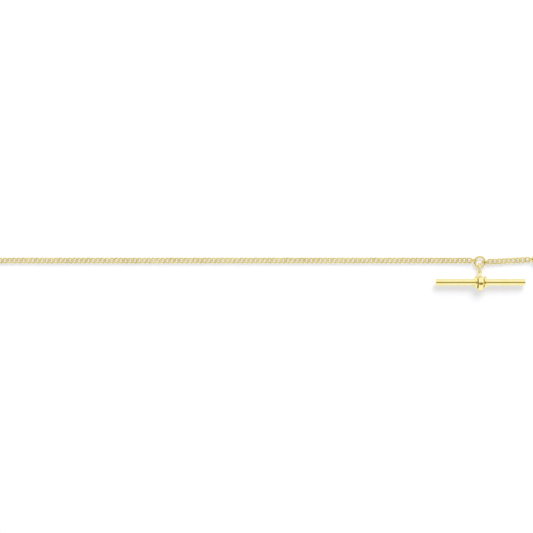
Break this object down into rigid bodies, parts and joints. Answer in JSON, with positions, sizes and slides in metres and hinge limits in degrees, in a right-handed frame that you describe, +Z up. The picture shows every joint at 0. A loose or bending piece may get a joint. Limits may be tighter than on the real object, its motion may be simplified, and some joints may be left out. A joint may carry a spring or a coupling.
{
  "type": "pocket watch chain",
  "caption": "Fine curb chain with a sprung swivel clip for the watch at one end, a centre ring carrying a T-bar, and a short drop chain ending in a fob ring.",
  "frame": {"origin": "bottom centre of the whole chain laid out straight; z = 0 is the surface that it lies on", "axes": "+X along the chain from the watch clip to the fob ring, +Y away from the T-bar, +Z up off the table"},
  "size_m": [0.2696, 0.0134, 0.0047],
  "materials": {
    "chain_gold": "polished yellow gold, wire drawn and planished",
    "ring_gold": "polished yellow gold",
    "bar_gold": "high polish yellow gold",
    "clip_gold": "polished yellow gold",
    "spring_steel": "blued spring steel"
  },
  "bodies": {
    "centre_ring": {"centre_ring": "ring_gold"},
    "end_link_left": {"end_link_left": "chain_gold"},
    "chain_section_01": {"chain_section_01": "chain_gold"},
    "chain_section_02": {"chain_section_02": "chain_gold"},
    "chain_section_03": {"chain_section_03": "chain_gold"},
    "chain_section_04": {"chain_section_04": "chain_gold"},
    "chain_section_05": {"chain_section_05": "chain_gold"},
    "chain_section_06": {"chain_section_06": "chain_gold"},
    "chain_section_07": {"chain_section_07": "chain_gold"},
    "chain_section_08": {"chain_section_08": "chain_gold"},
    "chain_section_09": {"chain_section_09": "chain_gold"},
    "chain_section_10": {"chain_section_10": "chain_gold"},
    "chain_section_11": {"chain_section_11": "chain_gold"},
    "chain_section_12": {"chain_section_12": "chain_gold"},
    "chain_section_13": {"chain_section_13": "chain_gold"},
    "chain_section_14": {"chain_section_14": "chain_gold"},
    "chain_section_15": {"chain_section_15": "chain_gold"},
    "chain_section_16": {"chain_section_16": "chain_gold"},
    "chain_section_17": {"chain_section_17": "chain_gold"},
    "chain_section_18": {"chain_section_18": "chain_gold"},
    "chain_section_19": {"chain_section_19": "chain_gold"},
    "chain_section_20": {"chain_section_20": "chain_gold"},
    "chain_section_21": {"chain_section_21": "chain_gold"},
    "chain_section_22": {"chain_section_22": "chain_gold"},
    "chain_section_23": {"chain_section_23": "chain_gold"},
    "chain_section_24": {"chain_section_24": "chain_gold"},
    "chain_section_25": {"chain_section_25": "chain_gold"},
    "chain_section_26": {"chain_section_26": "chain_gold"},
    "chain_section_27": {"chain_section_27": "chain_gold"},
    "chain_section_28": {"chain_section_28": "chain_gold"},
    "chain_section_29": {"chain_section_29": "chain_gold"},
    "chain_section_30": {"chain_section_30": "chain_gold"},
    "chain_section_31": {"chain_section_31": "chain_gold"},
    "chain_section_32": {"chain_section_32": "chain_gold"},
    "chain_section_33": {"chain_section_33": "chain_gold"},
    "chain_section_34": {"chain_section_34": "chain_gold"},
    "chain_section_35": {"chain_section_35": "chain_gold"},
    "chain_section_36": {"chain_section_36": "chain_gold"},
    "chain_section_37": {"chain_section_37": "chain_gold"},
    "chain_section_38": {"chain_section_38": "chain_gold"},
    "chain_section_39": {"chain_section_39": "chain_gold"},
    "end_link_watch": {"end_link_watch": "chain_gold"},
    "clip_eyelet": {"clip_eyelet": "clip_gold"},
    "clip_hook": {"clip_hook": "clip_gold", "clip_post": "clip_gold", "clip_gate_pin": "clip_gold", "clip_gate_spring": "spring_steel"},
    "clip_gate": {"clip_gate": "clip_gold"},
    "end_link_right": {"end_link_right": "chain_gold"},
    "drop_section_1": {"drop_section_1": "chain_gold"},
    "drop_section_2": {"drop_section_2": "chain_gold"},
    "drop_section_3": {"drop_section_3": "chain_gold"},
    "end_link_fob": {"end_link_fob": "chain_gold"},
    "fob_ring": {"fob_ring": "ring_gold"},
    "t_bar_link": {"t_bar_link": "ring_gold"},
    "t_bar_swivel": {"t_bar_swivel": "bar_gold"},
    "t_bar": {"t_bar_rod": "bar_gold", "t_bar_collar_left": "bar_gold", "t_bar_collar_right": "bar_gold"}
  },
  "joints": [
    {"name": "left_end_link_round_ring", "type": "hinge", "parent": "centre_ring", "child": "end_link_left", "pos_m": [0.11462, 0.00235, 0.00091], "axis": [0, 0, 1], "range_deg": [-16, 14]},
    {"name": "chain_pivot_01", "type": "hinge", "parent": "end_link_left", "child": "chain_section_01", "pos_m": [0.112, 0.00278, 0.00079], "axis": [0, 1, 0], "range_deg": [-12, 8]},
    {"name": "chain_pivot_02", "type": "hinge", "parent": "chain_section_01", "child": "chain_section_02", "pos_m": [0.10624, 0.0028, 0.00055], "axis": [0, 0, 1], "range_deg": [-22, 22]},
    {"name": "chain_pivot_03", "type": "hinge", "parent": "chain_section_02", "child": "chain_section_03", "pos_m": [0.10043, 0.0028, 0.00053], "axis": [0, -1, 0], "range_deg": [-22, 22]},
    {"name": "chain_pivot_04", "type": "hinge", "parent": "chain_section_03", "child": "chain_section_04", "pos_m": [0.09462, 0.0028, 0.00053], "axis": [0, 0, -1], "range_deg": [-22, 22]},
    {"name": "chain_pivot_05", "type": "hinge", "parent": "chain_section_04", "child": "chain_section_05", "pos_m": [0.08881, 0.0028, 0.00053], "axis": [0, 1, 0], "range_deg": [-28, 28]},
    {"name": "chain_pivot_06", "type": "hinge", "parent": "chain_section_05", "child": "chain_section_06", "pos_m": [0.08301, 0.0028, 0.00053], "axis": [0, 0, 1], "range_deg": [-28, 28]},
    {"name": "chain_pivot_07", "type": "hinge", "parent": "chain_section_06", "child": "chain_section_07", "pos_m": [0.0772, 0.0028, 0.00053], "axis": [0, -1, 0], "range_deg": [-28, 28]},
    {"name": "chain_pivot_08", "type": "hinge", "parent": "chain_section_07", "child": "chain_section_08", "pos_m": [0.07139, 0.0028, 0.00053], "axis": [0, 0, -1], "range_deg": [-28, 28]},
    {"name": "chain_pivot_09", "type": "hinge", "parent": "chain_section_08", "child": "chain_section_09", "pos_m": [0.06558, 0.0028, 0.00053], "axis": [0, 1, 0], "range_deg": [-28, 28]},
    {"name": "chain_pivot_10", "type": "hinge", "parent": "chain_section_09", "child": "chain_section_10", "pos_m": [0.05977, 0.0028, 0.00053], "axis": [0, 0, 1], "range_deg": [-28, 28]},
    {"name": "chain_pivot_11", "type": "hinge", "parent": "chain_section_10", "child": "chain_section_11", "pos_m": [0.05397, 0.0028, 0.00053], "axis": [0, -1, 0], "range_deg": [-28, 28]},
    {"name": "chain_pivot_12", "type": "hinge", "parent": "chain_section_11", "child": "chain_section_12", "pos_m": [0.04816, 0.0028, 0.00053], "axis": [0, 0, -1], "range_deg": [-28, 28]},
    {"name": "chain_pivot_13", "type": "hinge", "parent": "chain_section_12", "child": "chain_section_13", "pos_m": [0.04235, 0.0028, 0.00053], "axis": [0, 1, 0], "range_deg": [-28, 28]},
    {"name": "chain_pivot_14", "type": "hinge", "parent": "chain_section_13", "child": "chain_section_14", "pos_m": [0.03654, 0.0028, 0.00053], "axis": [0, 0, 1], "range_deg": [-28, 28]},
    {"name": "chain_pivot_15", "type": "hinge", "parent": "chain_section_14", "child": "chain_section_15", "pos_m": [0.03073, 0.0028, 0.00053], "axis": [0, -1, 0], "range_deg": [-28, 28]},
    {"name": "chain_pivot_16", "type": "hinge", "parent": "chain_section_15", "child": "chain_section_16", "pos_m": [0.02493, 0.0028, 0.00053], "axis": [0, 0, -1], "range_deg": [-28, 28]},
    {"name": "chain_pivot_17", "type": "hinge", "parent": "chain_section_16", "child": "chain_section_17", "pos_m": [0.01912, 0.0028, 0.00053], "axis": [0, 1, 0], "range_deg": [-28, 28]},
    {"name": "chain_pivot_18", "type": "hinge", "parent": "chain_section_17", "child": "chain_section_18", "pos_m": [0.01331, 0.0028, 0.00053], "axis": [0, 0, 1], "range_deg": [-28, 28]},
    {"name": "chain_pivot_19", "type": "hinge", "parent": "chain_section_18", "child": "chain_section_19", "pos_m": [0.0075, 0.0028, 0.00053], "axis": [0, -1, 0], "range_deg": [-28, 28]},
    {"name": "chain_pivot_20", "type": "hinge", "parent": "chain_section_19", "child": "chain_section_20", "pos_m": [0.00169, 0.0028, 0.00053], "axis": [0, 0, -1], "range_deg": [-28, 28]},
    {"name": "chain_pivot_21", "type": "hinge", "parent": "chain_section_20", "child": "chain_section_21", "pos_m": [-0.00411, 0.0028, 0.00053], "axis": [0, 1, 0], "range_deg": [-28, 28]},
    {"name": "chain_pivot_22", "type": "hinge", "parent": "chain_section_21", "child": "chain_section_22", "pos_m": [-0.00992, 0.0028, 0.00053], "axis": [0, 0, 1], "range_deg": [-28, 28]},
    {"name": "chain_pivot_23", "type": "hinge", "parent": "chain_section_22", "child": "chain_section_23", "pos_m": [-0.01573, 0.0028, 0.00053], "axis": [0, -1, 0], "range_deg": [-28, 28]},
    {"name": "chain_pivot_24", "type": "hinge", "parent": "chain_section_23", "child": "chain_section_24", "pos_m": [-0.02154, 0.0028, 0.00053], "axis": [0, 0, -1], "range_deg": [-28, 28]},
    {"name": "chain_pivot_25", "type": "hinge", "parent": "chain_section_24", "child": "chain_section_25", "pos_m": [-0.02735, 0.0028, 0.00053], "axis": [0, 1, 0], "range_deg": [-28, 28]},
    {"name": "chain_pivot_26", "type": "hinge", "parent": "chain_section_25", "child": "chain_section_26", "pos_m": [-0.03315, 0.0028, 0.00053], "axis": [0, 0, 1], "range_deg": [-28, 28]},
    {"name": "chain_pivot_27", "type": "hinge", "parent": "chain_section_26", "child": "chain_section_27", "pos_m": [-0.03896, 0.0028, 0.00053], "axis": [0, -1, 0], "range_deg": [-28, 28]},
    {"name": "chain_pivot_28", "type": "hinge", "parent": "chain_section_27", "child": "chain_section_28", "pos_m": [-0.04477, 0.0028, 0.00053], "axis": [0, 0, -1], "range_deg": [-28, 28]},
    {"name": "chain_pivot_29", "type": "hinge", "parent": "chain_section_28", "child": "chain_section_29", "pos_m": [-0.05058, 0.0028, 0.00053], "axis": [0, 1, 0], "range_deg": [-28, 28]},
    {"name": "chain_pivot_30", "type": "hinge", "parent": "chain_section_29", "child": "chain_section_30", "pos_m": [-0.05639, 0.0028, 0.00053], "axis": [0, 0, 1], "range_deg": [-28, 28]},
    {"name": "chain_pivot_31", "type": "hinge", "parent": "chain_section_30", "child": "chain_section_31", "pos_m": [-0.06219, 0.0028, 0.00053], "axis": [0, -1, 0], "range_deg": [-28, 28]},
    {"name": "chain_pivot_32", "type": "hinge", "parent": "chain_section_31", "child": "chain_section_32", "pos_m": [-0.068, 0.0028, 0.00053], "axis": [0, 0, -1], "range_deg": [-28, 28]},
    {"name": "chain_pivot_33", "type": "hinge", "parent": "chain_section_32", "child": "chain_section_33", "pos_m": [-0.07381, 0.0028, 0.00053], "axis": [0, 1, 0], "range_deg": [-28, 28]},
    {"name": "chain_pivot_34", "type": "hinge", "parent": "chain_section_33", "child": "chain_section_34", "pos_m": [-0.07962, 0.0028, 0.00053], "axis": [0, 0, 1], "range_deg": [-28, 28]},
    {"name": "chain_pivot_35", "type": "hinge", "parent": "chain_section_34", "child": "chain_section_35", "pos_m": [-0.08543, 0.0028, 0.00053], "axis": [0, -1, 0], "range_deg": [-28, 28]},
    {"name": "chain_pivot_36", "type": "hinge", "parent": "chain_section_35", "child": "chain_section_36", "pos_m": [-0.09123, 0.0028, 0.00053], "axis": [0, 0, -1], "range_deg": [-28, 28]},
    {"name": "chain_pivot_37", "type": "hinge", "parent": "chain_section_36", "child": "chain_section_37", "pos_m": [-0.09704, 0.0028, 0.00053], "axis": [0, 1, 0], "range_deg": [-28, 28]},
    {"name": "chain_pivot_38", "type": "hinge", "parent": "chain_section_37", "child": "chain_section_38", "pos_m": [-0.10285, 0.0028, 0.00053], "axis": [0, 0, 1], "range_deg": [-22, 22]},
    {"name": "chain_pivot_39", "type": "hinge", "parent": "chain_section_38", "child": "chain_section_39", "pos_m": [-0.10866, 0.0028, 0.00055], "axis": [0, -1, 0], "range_deg": [-22, 22]},
    {"name": "watch_end_link_pivot", "type": "hinge", "parent": "chain_section_39", "child": "end_link_watch", "pos_m": [-0.11443, 0.0028, 0.00079], "axis": [0, 1, 0], "range_deg": [-10, 8]},
    {"name": "clip_eyelet_swing", "type": "hinge", "parent": "end_link_watch", "child": "clip_eyelet", "pos_m": [-0.11672, 0.0028, 0.00091], "axis": [0, 0, 1], "range_deg": [-60, 60]},
    {"name": "clip_swivel", "type": "hinge", "parent": "clip_eyelet", "child": "clip_hook", "pos_m": [-0.12029, 0.0028, 0.00091], "axis": [-1, 0, 0], "continuous": true},
    {"name": "gate_hinge", "type": "hinge", "parent": "clip_hook", "child": "clip_gate", "pos_m": [-0.12214, 0.0018, 0.00091], "axis": [0, 0, -1], "range_deg": [0, 35], "stiffness_Nm_per_rad": 0.0001, "springref_deg": -20.05},
    {"name": "right_end_link_round_ring", "type": "hinge", "parent": "centre_ring", "child": "end_link_right", "pos_m": [0.11462, 0.00235, 0.00091], "axis": [0, 0, 1], "range_deg": [-8, 30]},
    {"name": "drop_pivot_1", "type": "hinge", "parent": "end_link_right", "child": "drop_section_1", "pos_m": [0.11724, 0.00238, 0.00079], "axis": [0, -1, 0], "range_deg": [-12, 18]},
    {"name": "drop_pivot_2", "type": "hinge", "parent": "drop_section_1", "child": "drop_section_2", "pos_m": [0.12155, 0.0026, 0.0006], "axis": [0, 0, 1], "range_deg": [-22, 12]},
    {"name": "drop_pivot_3", "type": "hinge", "parent": "drop_section_2", "child": "drop_section_3", "pos_m": [0.12591, 0.00281, 0.0006], "axis": [0, 1, 0], "range_deg": [-25, 12]},
    {"name": "fob_end_link_pivot", "type": "hinge", "parent": "drop_section_3", "child": "end_link_fob", "pos_m": [0.13023, 0.00301, 0.00079], "axis": [0, 0, 1], "range_deg": [-8, 10]},
    {"name": "fob_ring_swing", "type": "hinge", "parent": "end_link_fob", "child": "fob_ring", "pos_m": [0.13122, 0.00305, 0.00091], "axis": [0, 1, 0], "range_deg": [-30, 30]},
    {"name": "t_bar_link_round_ring", "type": "hinge", "parent": "centre_ring", "child": "t_bar_link", "pos_m": [0.11462, 0.00235, 0.00091], "axis": [0, 0, 1], "range_deg": [-8, 8]},
    {"name": "t_bar_swing", "type": "hinge", "parent": "t_bar_link", "child": "t_bar_swivel", "pos_m": [0.11462, -0.00013, 0.00097], "axis": [1, 0, 0], "range_deg": [-75, 45]},
    {"name": "t_bar_spin", "type": "hinge", "parent": "t_bar_swivel", "child": "t_bar", "pos_m": [0.11472, -0.00403, 0.0019], "axis": [1, 0, 0], "continuous": true}
  ]
}
